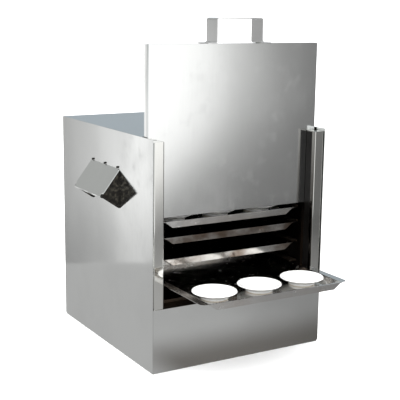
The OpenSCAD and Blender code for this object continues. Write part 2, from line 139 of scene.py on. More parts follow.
@dataclass
class Graph:
    """A node tree that is being wired up."""

    tree: bpy.types.NodeTree

    def node(
        self, kind: str, settings: dict[str, Any], inputs: dict[Any, Source], out: Any = 0
    ) -> Wire:
        """Adds a node and picks one of its outputs.

        Args:
            kind: The node's type.
            settings: Properties that are set before its sockets are filled.
            inputs: Values or wires by socket name or number.
            out: Name or number of the output that is used.

        Returns:
            The chosen output.
        """
        return Wire(self, self.add(kind, settings, inputs).outputs[out])

    def add(
        self, kind: str, settings: dict[str, Any], inputs: dict[Any, Source]
    ) -> bpy.types.Node:
        """Adds a node with its settings made and its sockets filled.

        Args:
            kind: The node's type.
            settings: Properties, or the stops of a colour ramp.
            inputs: Values or wires by socket name or number.

        Returns:
            The node itself.
        """
        made = self.tree.nodes.new(kind)
        for key, value in settings.items():
            if key == "stops":
                self._fill_ramp(made, value)
            else:
                setattr(made, key, value)
        for key, value in inputs.items():
            if isinstance(value, Wire):
                self.tree.links.new(value.socket, made.inputs[key])
            else:
                made.inputs[key].default_value = value
        return made

    @staticmethod
    def _fill_ramp(ramp: bpy.types.Node, stops: Sequence[tuple[float, Colour]]) -> None:
        """Sets a colour ramp's stops, given as places and colours."""
        line = ramp.color_ramp.elements
        while len(line) < len(stops):
            line.new(0.5)
        for element, (place, colour) in zip(line, stops):
            element.position = place
            element.color = (*colour, 1.0)

    def math(self, how: str, a: Source, b: Source) -> Wire:
        """One Math node on two values."""
        return self.node("ShaderNodeMath", {"operation": how}, {0: a, 1: b})

    def ramp(self, value: Wire, stops: Sequence[tuple[float, Colour]]) -> Wire:
        """A colour ramp over a value from 0 to 1."""
        return self.node("ShaderNodeValToRGB", {"stops": stops}, {0: value})

    def grey_ramp(self, value: Wire, stops: Sequence[tuple[float, float]]) -> Wire:
        """A ramp of greys over a value from 0 to 1."""
        return self.ramp(value, [(at, (g, g, g)) for at, g in stops])

    def blend(self, share: Source, a: Source, b: Source, how: str = "MIX") -> Wire:
        """Mixes two colours.

        Args:
            share: How much of b shows, from 0 to 1.
            a: The first colour.
            b: The second colour.
            how: The mix's blend type.

        Returns:
            The mixed colour.
        """
        full = {6: self.opaque(a), 7: self.opaque(b)}
        kind = {"data_type": "RGBA", "blend_type": how}
        return self.node("ShaderNodeMix", kind, {0: share, **full}, out=2)

    @staticmethod
    def opaque(colour: Source) -> Source:
        """A plain colour with its alpha added, or the wire as it is."""
        if isinstance(colour, Wire):
            return colour
        return (*tuple(colour)[:3], 1.0)

    def place(self, stretch: Sequence[float] = (1.0, 1.0, 1.0)) -> Wire:
        """The point in the part's own frame in metres, stretched along each axis."""
        here = self.node("ShaderNodeTexCoord", {}, {}, out="Object")
        if tuple(stretch) == (1.0, 1.0, 1.0):
            return here
        return self.node("ShaderNodeMapping", {}, {"Vector": here, "Scale": stretch})

    def axis(self, point: Wire, name: str) -> Wire:
        """One coordinate of a point."""
        return self.node("ShaderNodeSeparateXYZ", {}, {0: point}, out=name)

    def noise(self, point: Wire, scale: float, detail: float = 2.0, rough: float = 0.5) -> Wire:
        """Soft noise from 0 to 1.

        Args:
            point: Where the noise is read.
            scale: Features per metre.
            detail: Octaves.
            rough: How strong the finer octaves are.

        Returns:
            The noise.
        """
        feed = {"Vector": point, "Scale": scale, "Detail": detail, "Roughness": rough}
        return self.node("ShaderNodeTexNoise", {}, feed)

    def bump(self, height: Wire, depth: float, under: Optional[Wire] = None) -> Wire:
        """Turns a height from 0 to 1 into a normal.

        Args:
            height: The relief.
            depth: Its full depth in metres.
            under: A normal to start from.

        Returns:
            The bumped normal.
        """
        feed: dict[Any, Source] = {"Strength": 1.0, "Distance": depth, "Height": height}
        if under is not None:
            feed["Normal"] = under
        return self.node("ShaderNodeBump", {}, feed)


class Finish:
    """A finish that can be laid on a piece; each kind fills in its own graph."""

    name: str

    def paint(self, graph: Graph) -> dict[str, Source]:
        """Wires the graph and returns what feeds the Principled shader."""
        raise NotImplementedError

    def material(self) -> bpy.types.Material:
        """The finish's material, made the first time that it is asked for."""
        ready = bpy.data.materials.get(self.name)
        if ready:
            return ready
        made = bpy.data.materials.new(self.name)
        made.use_nodes = True
        made.node_tree.nodes.clear()
        graph = Graph(made.node_tree)
        surface = graph.node("ShaderNodeBsdfPrincipled", {}, self.paint(graph))
        graph.add("ShaderNodeOutputMaterial", {}, {0: surface})
        return made


class Run(Enum):
    """The way a sheet's polishing lines run, as stretches along X, Y and Z."""

    UPRIGHT = (160.0, 160.0, 5.0)
    ACROSS = (5.0, 160.0, 160.0)
    FORE_AND_AFT = (160.0, 5.0, 160.0)


@dataclass(frozen=True)
class SheetSteel(Finish):
    """Polished stainless steel sheet with faint polishing lines, smears and a slight waviness."""

    name: str
    tint: Colour = (0.925, 0.935, 0.922)
    rough: float = 0.10
    run: Run = Run.UPRIGHT
    wave: float = 0.0006
    wave_scale: float = 5.0
    smear: float = 0.06
    grain: float = 0.000004

    def paint(self, graph: Graph) -> dict[str, Source]:
        """Lines and smears in the roughness, waviness in the normal, a breath of grey in the colour."""
        here = graph.place()
        lines = graph.noise(graph.place(self.run.value), 6.0, 3.0, 0.6)
        clouds = graph.noise(here, 7.0, 4.0, 0.55)
        prints = graph.noise(here, 38.0, 3.0, 0.5).step(0.56, 0.74)
        hills = graph.noise(here, self.wave_scale, 1.0, 0.4)
        dull = tuple(c * 0.90 for c in self.tint)
        colour = graph.blend(clouds.step(0.35, 0.72) * 0.5 + lines * 0.18, self.tint, dull)
        rough = self.rough + (lines - 0.5) * 0.05 + clouds.step(0.45, 0.8) * self.smear
        rough = rough + prints * self.smear * 0.5
        relief = graph.bump(lines, self.grain, graph.bump(hills, self.wave))
        return {"Base Color": colour, "Roughness": rough, "Metallic": 1.0, "Normal": relief}


@dataclass(frozen=True)
class PostSteel(SheetSteel):
    """Polished sheet with painted shade on the faces next to the door slot, darkest low down."""

    slot: float = 0.1610

    def paint(self, graph: Graph) -> dict[str, Source]:
        """Paints shade into the sheet's colour on the faces next to the slot, and dulls them a little.
        """
        feeds = super().paint(graph)
        here = graph.place()
        # mask of the faces next to the slot, where shade is painted into the colour
        slot_face_shade_mask = abs(graph.axis(here, "X")).step(self.slot + 0.0004, self.slot - 0.0002)
        height = graph.axis(here, "Z") + (graph.noise(here, 30.0, 3.0, 0.5) - 0.5) * 0.03
        # painted shade: the slot faces are darkened in colour to stand in for the shadow and dark
        # reflection there, darkest low down
        painted_slot_shade = graph.ramp(
            height * 2.0,
            [(0.50, (0.06, 0.055, 0.05)), (0.66, (0.15, 0.14, 0.13)), (0.84, (0.36, 0.35, 0.33))],
        )
        feeds["Base Color"] = graph.blend(slot_face_shade_mask, feeds["Base Color"], painted_slot_shade)
        feeds["Roughness"] = feeds["Roughness"] + slot_face_shade_mask * 0.12
        return feeds


@dataclass(frozen=True)
class SmokedSteel(Finish):
    """Steel darkened by smoke and heat, with brown and black blotches and dull deposits."""

    name: str
    dark: Colour = (0.018, 0.014, 0.011)
    brown: Colour = (0.075, 0.05, 0.034)
    rough: float = 0.38
    metal: float = 0.75

    def paint(self, graph: Graph) -> dict[str, Source]:
        """Blotches in colour, deposits in roughness, a crust in the normal."""
        here = graph.place()
        blotch = graph.noise(here, 11.0, 5.0, 0.6)
        runs = graph.noise(graph.place((26.0, 26.0, 4.0)), 1.6, 4.0, 0.6)
        crust = graph.noise(here, 240.0, 3.0, 0.6)
        mixed = (blotch * 0.6 + runs * 0.4).step(0.36, 0.66)
        colour = graph.blend(mixed, self.dark, self.brown)
        rough = self.rough + blotch.step(0.4, 0.7) * 0.22 + (crust - 0.5) * 0.12
        return {
            "Base Color": colour,
            "Roughness": rough,
            "Metallic": self.metal,
            "Normal": graph.bump(crust, 0.00004),
        }


@dataclass(frozen=True)
class TemperedSteel(Finish):
    """Bright sheet with straw and brown heat tint, as on trays that have been smoked over."""

    name: str
    bright: Colour = (0.80, 0.79, 0.77)
    straw: Colour = (0.52, 0.40, 0.30)
    rough: float = 0.12
    share: float = 0.6

    def paint(self, graph: Graph) -> dict[str, Source]:
        """Heat tint in clouds, brown spots that are duller, fine polishing lines."""
        here = graph.place()
        clouds = graph.noise(here, 16.0, 4.0, 0.55)
        spots = graph.noise(here, 70.0, 3.0, 0.5).step(0.55, 0.72)
        lines = graph.noise(graph.place(Run.ACROSS.value), 5.0, 3.0, 0.6)
        hills = graph.noise(here, 22.0, 1.0, 0.4)
        colour = graph.blend(clouds.step(0.38, 0.68) * self.share, self.bright, self.straw)
        colour = graph.blend(spots * 0.3 * self.share, colour, (0.16, 0.11, 0.08))
        rough = self.rough + spots * 0.16 + (lines - 0.5) * 0.06 + clouds * 0.05
        relief = graph.bump(lines, 0.000006, graph.bump(hills, 0.0005))
        return {"Base Color": colour, "Roughness": rough, "Metallic": 1.0, "Normal": relief}


@dataclass(frozen=True)
class MineralWool(Finish):
    """Pressed mineral fibre with matted strands."""

    name: str

    def paint(self, graph: Graph) -> dict[str, Source]:
        """Strands in colour and relief."""
        strands = graph.noise(graph.place((40.0, 40.0, 160.0)), 6.0, 5.0, 0.7)
        clumps = graph.noise(graph.place(), 60.0, 4.0, 0.6)
        colour = graph.blend(strands, (0.42, 0.36, 0.22), (0.72, 0.66, 0.48))
        relief = graph.bump(strands * 0.6 + clumps * 0.4, 0.0012)
        return {"Base Color": colour, "Roughness": 0.92 - clumps * 0.08, "Normal": relief}


@dataclass(frozen=True)
class StainedWood(Finish):
    """Dark stained hardwood with open grain and worn, lighter streaks."""

    name: str
    along: Sequence[float] = (90.0, 9.0, 90.0)

    def paint(self, graph: Graph) -> dict[str, Source]:
        """Long fibres, pores and rubbed streaks."""
        fibre = graph.noise(graph.place(self.along), 5.0, 5.0, 0.65)
        streak = graph.noise(graph.place(self.along), 1.3, 3.0, 0.6).step(0.48, 0.72)
        pores = graph.noise(graph.place(self.along), 16.0, 2.0, 0.5).step(0.62, 0.74)
        colour = graph.blend(fibre.step(0.35, 0.7), (0.002, 0.0017, 0.0012), (0.014, 0.011, 0.008))
        colour = graph.blend(streak * 0.5, colour, (0.085, 0.078, 0.058))
        colour = graph.blend(pores * 0.7, colour, (0.001, 0.001, 0.001))
        rough = 0.5 + fibre * 0.2 + pores * 0.2
        relief = graph.bump(fibre - pores * 0.8, 0.0004)
        return {
            "Base Color": colour,
            "Roughness": rough,
            "Normal": relief,
            "Specular IOR Level": 0.28,
        }


@dataclass(frozen=True)
class WhiteGlaze(Finish):
    """White glazed stoneware, glossy above and bare on the foot ring."""

    name: str
    foot: float = 0.0

    def paint(self, graph: Graph) -> dict[str, Source]:
        """Pooled glaze, fine orange peel and a matt foot below the stated height."""
        here = graph.place()
        pool = graph.noise(here, 55.0, 3.0, 0.5)
        peel = graph.noise(here, 420.0, 2.0, 0.5)
        bare = graph.axis(here, "Z").step(self.foot + 0.0016, self.foot + 0.0006)
        colour = graph.blend(pool, (0.93, 0.93, 0.92), (0.88, 0.88, 0.865))
        colour = graph.blend(bare, colour, (0.66, 0.60, 0.50))
        rough = 0.13 + pool * 0.06 + bare * 0.6
        relief = graph.bump(peel, 0.00001)
        return {
            "Base Color": colour,
            "Roughness": rough,
            "Normal": relief,
            "Coat Weight": 0.6 - bare * 0.6,
            "Coat Roughness": 0.06,
        }


@dataclass(frozen=True)
class MouldedPlastic(Finish):
    """Moulded plastic with a fine spark-eroded grain and rubbed high spots."""

    name: str
    colour: Colour = (0.012, 0.012, 0.013)
    rough: float = 0.45

    def paint(self, graph: Graph) -> dict[str, Source]:
        """Grain in relief and roughness, a slight fade in the colour."""
        here = graph.place()
        grain = graph.noise(here, 900.0, 2.0, 0.5)
        fade = graph.noise(here, 45.0, 3.0, 0.5)
        paler = tuple(min(1.0, c * 1.5 + 0.004) for c in self.colour)
        colour = graph.blend(fade.step(0.4, 0.75), self.colour, paler)
        rough = self.rough + (grain - 0.5) * 0.12 + fade * 0.08
        return {"Base Color": colour, "Roughness": rough, "Normal": graph.bump(grain, 0.00003)}


@dataclass(frozen=True)
class PlainMetal(Finish):
    """Satin metal of small parts: screws, tube, probe, plated cases and brass pins."""

    name: str
    colour: Colour = (0.62, 0.62, 0.61)
    rough: float = 0.24

    def paint(self, graph: Graph) -> dict[str, Source]:
        """Fine turning marks, dull spots and a little tarnish."""
        here = graph.place()
        marks = graph.noise(graph.place((300.0, 60.0, 300.0)), 4.0, 3.0, 0.6)
        tarnish = graph.noise(here, 90.0, 4.0, 0.6)
        dark = tuple(c * 0.62 for c in self.colour)
        colour = graph.blend(tarnish.step(0.45, 0.8) * 0.6, self.colour, dark)
        rough = self.rough + marks * 0.1 + tarnish * 0.1
        return {
            "Base Color": colour,
            "Roughness": rough,
            "Metallic": 1.0,
            "Normal": graph.bump(marks, 0.00001),
        }


@dataclass(frozen=True)
class AmberLens(Finish):
    """Amber lamp lens with ribs and a faint glow."""

    name: str

    def paint(self, graph: Graph) -> dict[str, Source]:
        """Ribs in relief, darker colour in the grooves."""
        ribs = graph.noise(graph.place((10.0, 900.0, 900.0)), 1.2, 1.0, 0.3)
        colour = graph.blend(ribs, (0.62, 0.14, 0.015), (0.95, 0.36, 0.06))
        glow = graph.blend(ribs, (0.10, 0.02, 0.0), (0.22, 0.06, 0.005))
        return {
            "Base Color": colour,
            "Roughness": 0.12 + ribs * 0.06,
            "Normal": graph.bump(ribs, 0.0001),
            "Emission Color": glow,
            "Emission Strength": 0.5,
        }


@dataclass(frozen=True)
class PaleFloor(Finish):
    """Plain pale studio floor."""

    name: str = "pale_floor"

    def paint(self, graph: Graph) -> dict[str, Source]:
        """Almost white with a trace of paper tooth."""
        tooth = graph.noise(graph.place(), 120.0, 2.0, 0.5)
        colour = graph.blend(tooth, (0.96, 0.96, 0.96), (0.94, 0.94, 0.94))
        return {"Base Color": colour, "Roughness": 0.8}


class Glow(Finish):
    """A finish that only gives light, for the cards that the steel mirrors."""

    gain: float = 1.25

    def tone(self, graph: Graph, value: Wire, stops: Stops) -> Wire:
        """Brightness along a value, divided by the gain so that it fits a ramp.

        Args:
            graph: The graph that is being wired.
            value: What the brightness goes by.
            stops: Values, from low to high, and the brightness at each.

        Returns:
            A grey.
        """
        low = stops[0][0]
        span = stops[-1][0] - low
        line = [((at - low) / span, level / self.gain) for at, level in stops]
        return graph.grey_ramp((value - low) / span, line)

    def shade(self, graph: Graph) -> Wire:
        """The card's colour over its surface."""
        raise NotImplementedError

    def paint(self, graph: Graph) -> dict[str, Source]:
        """Black, with the card's colour as light."""
        return {
            "Base Color": (0.0, 0.0, 0.0, 1.0),
            "Roughness": 1.0,
            "Specular IOR Level": 0.0,
            "Emission Color": self.shade(graph),
            "Emission Strength": self.gain,
        }


@dataclass(frozen=True)
class RoomGlow(Glow):
    """The soft room that the steel mirrors: white flats, a grey corner and a cool ceiling.

    The stops hold degrees and brightness. Ahead they count from the white flat's edge, and
    elsewhere from straight ahead, with the left side negative.
    """

    name: str = "room_glow"
    cool: Colour = (0.30, 0.34, 0.37)
    neutral: Colour = (0.32, 0.325, 0.32)
    zenith: Colour = (0.76, 0.77, 0.78)
    flat_edge: float = 33.9
    flat_bow: float = 0.075
    ahead: Stops = (
        (-6.75, 1.24), (-5.85, 1.22), (-3.6, 1.14), (-2.25, 0.95), (-0.9, 0.61), (0.18, 0.43),
        (1.53, 0.285), (3.6, 0.195), (6.75, 0.155), (22.0, 0.13), (43.0, 0.5), (65.0, 0.85),
    )
    left: Stops = (
        (-180.0, 0.42), (-162.0, 0.36), (-157.95, 0.34), (-156.6, 0.53), (-155.5, 0.61),
        (-154.6, 0.66), (-153.8, 0.98), (-153.0, 1.16), (-151.55, 1.05), (-150.65, 0.66),
        (-149.4, 0.60), (-147.4, 0.36), (-144.7, 0.34), (-141.3, 0.30), (-126.0, 0.45),
        (-99.0, 0.9), (-54.0, 1.2), (0.0, 1.24),
    )
    right: Stops = ((0.0, 1.0), (81.0, 0.75), (111.6, 0.95), (144.0, 0.6), (180.0, 0.42))

    def shade(self, graph: Graph) -> Wire:
        """Brightness by direction, from its azimuth and its elevation in degrees."""
        turn = math.degrees(1.0)
        way = graph.node("ShaderNodeVectorMath", {"operation": "NORMALIZE"}, {0: graph.place()})
        x, y, z = (graph.axis(way, name) for name in "XYZ")
        side = graph.math("ARCTAN2", x, 0.0 - y) * turn
        rise = graph.math("ARCSINE", z, 0.0) * turn
        low = graph.math("MAXIMUM", graph.math("MINIMUM", rise, 3.0), -14.0) + 2.6
        edge = self.flat_edge - low * low * self.flat_bow
        front = self.tone(graph, side - edge, self.ahead)
        front = graph.blend(side.step(22.0, -8.0), front, (0.64, 0.65, 0.66), "MULTIPLY")
        left = self.tone(graph, side, self.left)
        left = graph.blend(rise.step(-9.0, -15.5), left, (0.64, 0.64, 0.64), "MULTIPLY")
        inward = side.step(-150.0, -147.0) * rise.step(-6.5, -13.5)
        left = graph.blend(inward, left, (0.30, 0.29, 0.28), "MULTIPLY")
        right = self.tone(graph, side, self.right)
        near = (0.0 - y).step(-0.05, 0.10)
        behind = graph.blend(x.step(-0.02, 0.02), left, right)
        level = graph.blend(near, behind, front)
        ceiling = graph.blend(x.step(0.05, -0.05), self.cool, self.neutral)
        ceiling = graph.blend(z.step(0.35, 0.9), ceiling, self.zenith)
        up = rise.step(2.0, 5.5) * (1.0 - near) + rise.step(8.0, 30.0) * near
        return graph.blend(up, level, ceiling)


@dataclass(frozen=True)
class TableGlow(Glow):
    """The grey table that the lower sheets mirror, darker to the right, with a painted contact shadow
    near the front.

    The stops hold metres to the right of the middle and brightness.
    """

    front: float
    name: str = "table_glow"
    # painted contact shadow colour on the table in front of the cabinet
    contact_shadow_colour: Colour = (0.375, 0.355, 0.335)
    across: Stops = (
        (-0.6, 0.45), (-0.06, 0.42), (0.05, 0.40), (0.12, 0.37), (0.21, 0.31), (0.265, 0.275),
        (0.37, 0.25), (0.48, 0.235), (0.59, 0.20), (0.75, 0.13), (1.2, 0.13),
    )

    def shade(self, graph: Graph) -> Wire:
        """Brightness by place on the table."""
        here = graph.place()
        x = graph.axis(here, "X")
        ahead = self.front - graph.axis(here, "Y")
        full = (1.0, 1.0, 1.0)
        # painted contact shadow: darker just in front of the cabinet, weaker at the left end
        shade = graph.blend(ahead.step(0.02, 0.20), self.contact_shadow_colour, full)
        shade = graph.blend(x.step(-0.10, -0.20), shade, (0.9, 0.9, 0.9))
        shade = graph.blend(ahead.step(0.0, -0.02), shade, full)
        return graph.blend(1.0, self.tone(graph, x, self.across), shade, "MULTIPLY")


# ---- meshes ----


class Edge(Enum):
    """How far a CAD part's sharp edges are broken, in metres."""

    SHEET = 0.00035
    FOLD = 0.0009
    SOFT = 0.0016
    SMALL = 0.0002


@dataclass(frozen=True)
class Workshop:
    """Makes meshes and lays finishes on parts."""

    frame: dict[str, Any]

    def dress(self, nodes: Iterable[str], finish: Finish, edge: Optional[Edge] = None) -> None:
        """Lays a finish on CAD parts and breaks their edges.

        Args:
            nodes: The CAD parts' names.
            finish: What they are finished in.
            edge: How far their edges are broken, or None to leave them.
        """
        made = finish.material()
        for name in nodes:
            part = self.frame["nodes"][name]
            if not part.material_slots:
                raise RuntimeError(f"{name} has no material slot")
            for slot in part.material_slots:
                slot.link = "OBJECT"
                slot.material = made
            if edge is not None:
                self.break_edges(part, edge.value)
            LOG.info("%s in %s", name, finish.name)

    @staticmethod
    def break_edges(part: bpy.types.Object, width: float, segments: int = 2) -> None:
        """Welds a part's seams and rounds its sharp edges with modifiers."""
        weld = part.modifiers.new("weld", "WELD")
        weld.merge_threshold = 1e-6
        bevel = part.modifiers.new("edge_break", "BEVEL")
        bevel.width = width
        bevel.segments = segments
        bevel.limit_method = "ANGLE"
        bevel.angle_limit = math.radians(35.0)
        bevel.harden_normals = False

    @staticmethod
    def piece(
        name: str, shape: bmesh.types.BMesh, finish: Finish, body: str, slot: Optional[str] = None
    ) -> bpy.types.Object:
        """Turns a mesh in the row frame into a finished piece that rides on a body.

        Args:
            name: The piece's name.
            shape: Its mesh, which is used up.
            finish: What it is finished in.
            body: The body that it rides on.
            slot: The record's material slot; not used.

        Returns:
            The new object.
        """
        bmesh.ops.recalc_face_normals(shape, faces=shape.faces)
        mesh = bpy.data.meshes.new(name)
        shape.to_mesh(mesh)
        shape.free()
        mesh.materials.append(finish.material())
        made = bpy.data.objects.new(name, mesh)
        bpy.context.scene.collection.objects.link(made)
        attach(made, body)
        LOG.info("%s on %s in %s", name, body, finish.name)
        return made

    @staticmethod
    def smooth(part: bpy.types.Object, angle: float = 35.0) -> bpy.types.Object:
        """Shades a piece smooth and keeps the edges that are sharper than the angle."""
        mesh = part.data
        mesh.polygons.foreach_set("use_smooth", [True] * len(mesh.polygons))
        work = bmesh.new()
        work.from_mesh(mesh)
        for edge in work.edges:
            sharp = len(edge.link_faces) != 2 or edge.calc_face_angle(0.0) > math.radians(angle)
            edge.smooth = not sharp
        work.to_mesh(mesh)
        work.free()
        return part

    @staticmethod
    def lathe(
        shape: bmesh.types.BMesh,
        rings: Sequence[tuple[float, float]],
        where: Matrix,
        count: int = 48,
        reach: Optional[Callable[[float, float, float], tuple[float, float]]] = None,
    ) -> None:
        """Turns rings round the local Z axis into a closed skin.

        Args:
            shape: The mesh that the skin is added to.
            rings: Radius and height of each ring; a first or last radius of 0 closes the end.
            where: Places the local axes in the row frame.
            count: Points round each ring.
            reach: Changes radius and height by radius, height and angle.
        """
        rows: list[list[bmesh.types.BMVert]] = []
        for radius, height in rings:
            if radius == 0.0:
                rows.append([shape.verts.new(where @ Vector((0.0, 0.0, height)))])
                continue
            row = []
            for i in range(count):
                a = 2.0 * math.pi * i / count
                r, h = reach(radius, height, a) if reach else (radius, height)
                row.append(shape.verts.new(where @ Vector((r * math.cos(a), r * math.sin(a), h))))
            rows.append(row)
        for low, high in zip(rows, rows[1:]):
            for i in range(count):
                j = (i + 1) % count
                if len(low) == 1:
                    shape.faces.new((low[0], high[j], high[i]))
                elif len(high) == 1:
                    shape.faces.new((low[i], low[j], high[0]))
                else:
                    shape.faces.new((low[i], low[j], high[j], high[i]))

    @staticmethod
    def strip(
        shape: bmesh.types.BMesh, line: Sequence[Vector], across: Vector, thick: float
    ) -> None:
        """Sweeps a flat strip along a line, with its thickness inside the line.

        Args:
            shape: The mesh that the strip is added to.
            line: Points on the strip's outer face, in one plane.
            across: The strip's width as a vector.
            thick: The strip's thickness.
        """
        rows = []
        for i, point in enumerate(line):
            before = (point - line[i - 1]).normalized() if i else None
            after = (line[i + 1] - point).normalized() if i + 1 < len(line) else None
            first = before or after
            second = after or before
            bend = (first + second).normalized()
            inward = across.normalized().cross(bend)
            inward = inward * (thick / max(0.5, inward.dot(across.normalized().cross(first))))
            corners = (point, point + across, point + across + inward, point + inward)
            rows.append([shape.verts.new(corner) for corner in corners])
        for low, high in zip(rows, rows[1:]):
            for i in range(4):
                j = (i + 1) % 4
                shape.faces.new((low[i], low[j], high[j], high[i]))
        shape.faces.new(rows[0])
        shape.faces.new(rows[-1])


# ---- finishes of this smoker ----

SIDE_SHEET = SheetSteel("side_sheet_steel", rough=0.10, run=Run.UPRIGHT, wave=0.0007)
FRONT_SHEET = SheetSteel("front_sheet_steel", rough=0.12, run=Run.UPRIGHT, wave=0.0003)
TOP_SHEET = SheetSteel("top_sheet_steel", rough=0.14, run=Run.FORE_AND_AFT, wave=0.0002)
DOOR_SHEET = SheetSteel("door_sheet_steel", rough=0.11, run=Run.UPRIGHT, wave=0.0003)
BACK_SHEET = SheetSteel("back_sheet_steel", rough=0.16, run=Run.UPRIGHT, wave=0.0005)
POST_STEEL = PostSteel(
    "post_steel", tint=(0.87, 0.868, 0.835), rough=0.07, wave=0.0004, wave_scale=9.0, smear=0.03
)
HANDLE_STEEL = SheetSteel("handle_steel", tint=(0.86, 0.86, 0.855), rough=0.13, run=Run.ACROSS)
GRIP_STEEL = SheetSteel(
    "grip_cover_steel", rough=0.10, run=Run.FORE_AND_AFT, wave=0.0012, wave_scale=26.0
)
BOX_STEEL = SheetSteel("control_box_steel", rough=0.20, run=Run.FORE_AND_AFT, wave=0.0002)
GUIDE_STEEL = SmokedSteel("guide_steel", dark=(0.03, 0.027, 0.024), rough=0.3)
# near-black finish on the slot strips: painted shade where the slot lies in shadow
SLOT_PAINTED_SHADE = SmokedSteel("slot_painted_shade_steel", (0.005, 0.0045, 0.004), (0.014, 0.012, 0.011), 0.45, 0.6)
LINING_STEEL = SmokedSteel(
    "smoked_lining_steel", (0.003, 0.0025, 0.002), (0.016, 0.0115, 0.0085), metal=0.97
)
RUNNER_STEEL = SmokedSteel("runner_steel", (0.03, 0.025, 0.022), (0.12, 0.09, 0.065), 0.3, 0.9)
PAN_STEEL = SmokedSteel("pan_steel", (0.02, 0.017, 0.015), (0.10, 0.07, 0.05), 0.34, 0.85)
SHEATH = SmokedSteel("element_sheath", (0.03, 0.027, 0.026), (0.09, 0.075, 0.07), 0.5, 0.8)
BRIGHT_TRAY = TemperedSteel("bright_tray_steel", share=0.22)
USED_TRAY = TemperedSteel(
    "used_tray_steel", (0.62, 0.60, 0.57), (0.17, 0.115, 0.08), rough=0.10, share=0.95
)
WOOL = MineralWool("mineral_wool")
WOOD = StainedWood("stained_grip_wood")
BLACK = MouldedPlastic("black_plastic")
RED = MouldedPlastic("red_plastic", (0.42, 0.018, 0.012), 0.25)
WHITE_PRINT = MouldedPlastic("white_marks", (0.78, 0.78, 0.76), 0.5)
SCREW_STEEL = PlainMetal("screw_steel")
TUBE_STEEL = PlainMetal("outlet_tube_steel", (0.55, 0.54, 0.52), 0.28)
PLATED = PlainMetal("plated_case", (0.45, 0.45, 0.46), 0.32)
DARK_RIVET = PlainMetal("dark_rivet", (0.05, 0.047, 0.043), 0.35)
BRASS = PlainMetal("brass_pin", (0.72, 0.52, 0.22), 0.22)
LENS = AmberLens("amber_lens")


# ---- sub-assemblies ----


@dataclass
class Cabinet:
    """The outer sheets and the folded base."""

    shop: Workshop

    def build(self) -> None:
        """Dresses the sheets."""
        self.shop.dress(["side_panel_left", "side_panel_right"], SIDE_SHEET, Edge.SHEET)
        self.shop.dress(["front_panel"], FRONT_SHEET, Edge.SHEET)
        self.shop.dress(["sill_ledge"], RUNNER_STEEL, Edge.SHEET)
        self.shop.dress(["top_panel"], TOP_SHEET, Edge.SHEET)
        self.shop.dress(["back_panel", "base_panel"], BACK_SHEET, Edge.SHEET)


@dataclass
class FrontFrame:
    """The posts that the door runs behind, its guides and the lintel."""

    shop: Workshop

    def build(self) -> None:
        """Dresses posts, guides and lintel."""
        self.shop.dress(["post_left", "post_right"], POST_STEEL, Edge.SHEET)
        # the slot strips are painted near black as shade
        self.shop.dress(["slot_strip_left", "slot_strip_right"], SLOT_PAINTED_SHADE, Edge.SMALL)
        self.shop.dress(["door_guide_left", "door_guide_right", "lintel"], GUIDE_STEEL, Edge.SMALL)


@dataclass
class Oven:
    """The smoked lining with insulation, heater, chip pan, drip tray and runners."""

    shop: Workshop

    def build(self) -> None:
        """Dresses everything inside the cabinet."""
        sheets = ["left", "right", "back", "top", "floor", "front"]
        self.shop.dress([f"liner_{s}" for s in sheets], LINING_STEEL)
        wool = ["left", "right", "top", "back"]
        self.shop.dress([f"insulation_{s}" for s in wool], WOOL)
        self.shop.dress(["runners_left", "runners_right", "drip_ledges"], RUNNER_STEEL, Edge.SMALL)
        self.shop.dress(["element_supports"], RUNNER_STEEL, Edge.SMALL)
        self.shop.dress(["heating_element"], SHEATH)
        self.shop.dress(["element_terminals"], BRASS)
        self.shop.dress(["chip_pan", "drip_tray"], PAN_STEEL, Edge.SMALL)
        self.shop.dress(["exhaust_tube", "temperature_probe"], TUBE_STEEL, Edge.SMALL)


